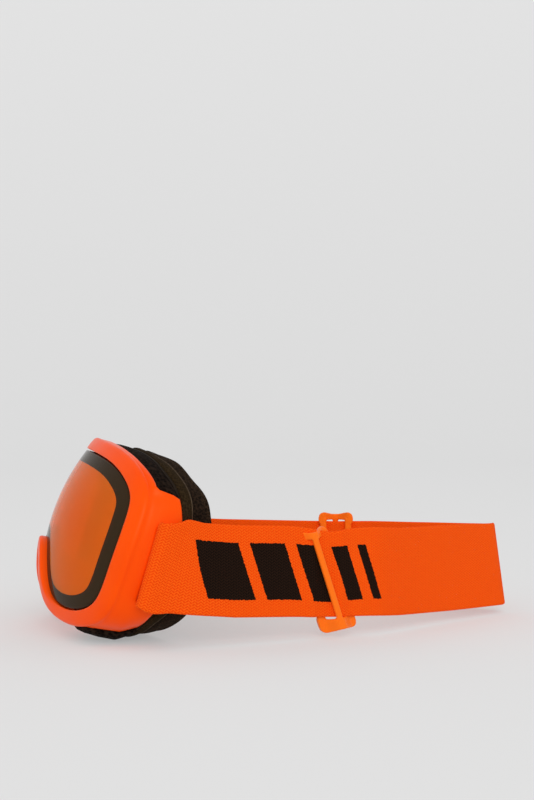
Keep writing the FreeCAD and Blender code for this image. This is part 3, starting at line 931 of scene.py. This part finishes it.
def strap_main():
    """The long run from neck to neck round the fold, as one ribbon."""
    # Columns: out, back, running length, shift, height, half width.
    parts = []
    for side in ("left", "right"):
        plan, run = half_plan(side)
        start = float(np.interp(NECK_END, plan[:, 1], run))
        wanted = np.linspace(start, run[-1], 190)
        line = points_along(plan, run, wanted)
        height, half = strap_height(side, line[:, 1])
        parts.append(np.column_stack([line, wanted, slider_swell(side, line[:, 1]), height, half]))
    left, right = parts
    whole = left[-1, 2] + right[-1, 2]
    right = right[::-1][1:].copy()
    right[:, 0] = -right[:, 0]
    right[:, 2] = whole - right[:, 2]
    strap = np.vstack([left, right])
    line = strap[:, :2]
    run, shift, height, half = strap[:, 2:].T.copy()
    soften = np.ones(9) / 9
    for values in (height, half):
        values[4:-4] = np.convolve(values, soften, "valid")
    lean = -FOLD_LEAN * smooth(line[:, 1], 140.0, 182.0)
    piece = ribbon_mesh("strap_long_run", line, run, shift, height, half, lean)
    finish_piece(piece, WEBBING, "strap", "webbing", "strap_webbing")


# ---- sliders -------------------------------------------------------------------------------------
def slider_shift(along):
    """The end pieces of a slider arch outwards from its rails to its middle bar."""
    return RAIL_SHIFT + (MIDDLE_SHIFT - RAIL_SHIFT) * (1 - smooth(np.abs(along), 0.8, 7.0))


def squared(value):
    """Sine or cosine bent towards a rounded square."""
    return np.sign(value) * np.abs(value) ** 0.6


def slider_bar(middle, half_width):
    """One upright bar of a slider as a grid round its section: (along, shift, height)."""
    turns = np.linspace(0, 2 * math.pi, 20, endpoint=False)
    along = middle + half_width * squared(np.cos(turns))
    shift = slider_shift(middle) + SLIDER_THICK / 2 * squared(np.sin(turns))
    heights = np.linspace(-SLIDER_SLOT_HALF - 1.0, SLIDER_SLOT_HALF + 1.0, 24)
    return np.stack(np.broadcast_arrays(along[:, None], shift[:, None], heights[None, :]), axis=-1)


def slider_cap(end, foot):
    """One end piece of a slider, arched in plan, with two rounded ears and a hollow between them.

    end is 1 for the upper piece and -1 for the lower one, which is deeper by foot.
    """
    along = np.linspace(-SLIDER_HALF_WIDTH, SLIDER_HALF_WIDTH, 49)
    distance = np.abs(along)
    beyond = np.clip(distance - (SLIDER_HALF_WIDTH - SLIDER_EAR), 0, SLIDER_EAR)
    rounding = SLIDER_EAR - np.sqrt(np.clip(SLIDER_EAR ** 2 - beyond ** 2, 0, None))
    high = SLIDER_HALF_HEIGHT + foot - 1.2 * (1 - smooth(distance, 1.0, 6.4)) - rounding
    low = SLIDER_SLOT_HALF - 0.3 * foot - 2.4 * smooth(distance, 6.0, 7.6) + rounding * 0.8
    high = np.maximum(high, low + 0.3)
    shift = slider_shift(along)
    grid = []
    for side, level in ((1, 0), (1, 0.5), (1, 1), (-1, 1), (-1, 0.5), (-1, 0)):
        surface = shift + side * SLIDER_CAP_THICK / 2
        grid.append(np.column_stack([along, surface, end * (low + (high - low) * level)]))
    return np.array(grid)


def slider(side):
    """A slider's end pieces and bars set on the strap's line, then moulded into one skin."""
    back, middle, bar_lean, end_lean = SLIDERS[side]
    bar_lean = math.radians(bar_lean)
    end_lean = math.radians(end_lean)
    sign = 1 if side == "left" else -1
    plan = half_plan(side)[0]
    out = float(np.interp(back, plan[:, 1], plan[:, 0]))
    corner = PLAN_CORNER[side]
    along = np.array([corner[0] - PLAN_START, corner[1]])
    along /= np.linalg.norm(along)
    normal = np.array([along[1], -along[0]])
    work = bmesh.new()
    grids = [slider_cap(1, 0.0), slider_cap(-1, SLIDER_FOOT[side])]
    grids += [slider_bar(spot, half_width) for spot, half_width in SLIDER_BARS]
    for grid in grids:
        ahead = grid[..., 0] * math.cos(end_lean) - grid[..., 2] * math.sin(bar_lean)
        rise = grid[..., 0] * math.sin(end_lean) + grid[..., 2] * math.cos(bar_lean)
        x = sign * (out + along[0] * ahead + normal[0] * grid[..., 1])
        y = back + along[1] * ahead + normal[1] * grid[..., 1]
        spots = np.stack([x * MM + BARS.x, y * MM + BARS.y, (rise + middle) * MM], axis=-1)
        part = mesh_from_grid("slider_part", spots, close_rows=True)
        cap_ends(part, spots.shape[0], spots.shape[1])
        work.from_mesh(part.data)
        bpy.data.objects.remove(part)
    mesh = bpy.data.meshes.new("slider_" + side + "_moulded")
    work.to_mesh(mesh)
    work.free()
    piece = bpy.data.objects.new(mesh.name, mesh)
    bpy.context.scene.collection.objects.link(piece)
    remesh = piece.modifiers.new("one skin", "REMESH")
    remesh.mode = "VOXEL"
    remesh.voxel_size = SLIDER_VOXEL
    remesh.use_smooth_shade = True
    rounding = piece.modifiers.new("rounding", "SMOOTH")
    rounding.factor = 0.5
    rounding.iterations = 6
    apply_modifiers(piece)
    for polygon in piece.data.polygons:
        polygon.use_smooth = True
    finish_piece(piece, SLIDER_ORANGE, "slider_" + side, "slider", "slider_" + side)


# ---- stage, light and camera ---------------------------------------------------------------------
STAGE_WALL = 0.55        # grey of the wall, and of the floor, which gets more light
STAGE_FLOOR = 0.44
STAGE_GLOW = 0.345       # the overlit sweep of a product photograph, so shadows stay pale
# Sizes in metres: the floor runs from FLOOR_FRONT to FLOOR_REAR and curves up into the wall.
FLOOR_FRONT = 6.0
FLOOR_REAR = -1.5
COVE_RADIUS = 2.5
WALL_TOP = 9.0
STAGE_HALF_WIDTH = 8.0
SURROUNDINGS = 0.78      # strength of the white world
KEY_SIZE = 1.6
KEY_POWER = 38.0
KEY_PLACE = (3.2, -0.4, 1.5)
KEY_TARGET = (0.0, 0.0, 0.04)
CAMERA_LENS = 59.6       # millimetres on a 36 mm sensor
CAMERA_OUT = 0.6374
CAMERA_FORWARD = 0.0636  # the camera stands this far in front of the strap bars
CAMERA_HEIGHT = 0.1075
CAMERA_HEADING = (-0.9799, 0.1994, 0.0)


def cove():
    """A floor that curves up into a wall, toned so that all of it looks the same flat grey."""
    profile = [(FLOOR_FRONT, 0.0), (FLOOR_REAR, 0.0)]
    for turn in np.linspace(0, math.pi / 2, 40)[1:]:
        profile.append((FLOOR_REAR - COVE_RADIUS * math.sin(turn), COVE_RADIUS * (1 - math.cos(turn))))
    profile.append((FLOOR_REAR - COVE_RADIUS, WALL_TOP))
    grid = np.array([[(x, y, z) for y in (-STAGE_HALF_WIDTH, STAGE_HALF_WIDTH)] for x, z in profile])
    made = Material("stage_grey", (0.7, 0.7, 0.7), 1.0, Specular_IOR_Level=0.0)
    normal = made.node("ShaderNodeNewGeometry")
    parts = made.node("ShaderNodeSeparateXYZ")
    made.link(normal, "Normal", parts, "Vector")
    upright = made.math("ABSOLUTE", (parts, "Z"))
    tone = made.mix(upright, (STAGE_WALL,) * 3, (STAGE_FLOOR,) * 3)
    made.base_colour(*tone)
    made.set(Emission_Color=(1.0, 1.0, 1.0, 1.0), Emission_Strength=STAGE_GLOW)
    sheet = mesh_from_grid("stage_cove", grid)
    sheet.data.materials.append(made.material)


def key_light():
    """One soft square light from the camera's side, high up."""
    light = bpy.data.lights.new("key", "AREA")
    light.shape = "SQUARE"
    light.size = KEY_SIZE
    light.energy = KEY_POWER
    lamp = bpy.data.objects.new("key", light)
    bpy.context.scene.collection.objects.link(lamp)
    lamp.location = KEY_PLACE
    aim = Vector(KEY_TARGET) - lamp.location
    lamp.rotation_euler = aim.to_track_quat("-Z", "Y").to_euler()


def studio():
    """Bright even surroundings and the key light."""
    world = bpy.data.worlds.new("studio")
    bpy.context.scene.world = world
    world.use_nodes = True
    background = world.node_tree.nodes["Background"]
    background.inputs["Color"].default_value = (1.0, 1.0, 1.0, 1.0)
    background.inputs["Strength"].default_value = SURROUNDINGS
    key_light()


def camera():
    """Level camera that looks at the part's left side from a little in front."""
    made = bpy.data.cameras.new("view")
    made.lens = CAMERA_LENS
    made.sensor_width = 36.0
    seen = bpy.data.objects.new("view", made)
    bpy.context.scene.collection.objects.link(seen)
    seen.location = (CAMERA_OUT, BARS.y - CAMERA_FORWARD, CAMERA_HEIGHT)
    seen.rotation_euler = Vector(CAMERA_HEADING).to_track_quat("-Z", "Y").to_euler()
    bpy.context.scene.camera = seen


camera()
studio()
cove()
frame_shell()
lens_parts()
face_parts()
vent_foams()
for side in ("left", "right"):
    strap_neck(side)
    slider(side)
strap_main()

bpy.context.scene.view_settings.view_transform = "Standard"
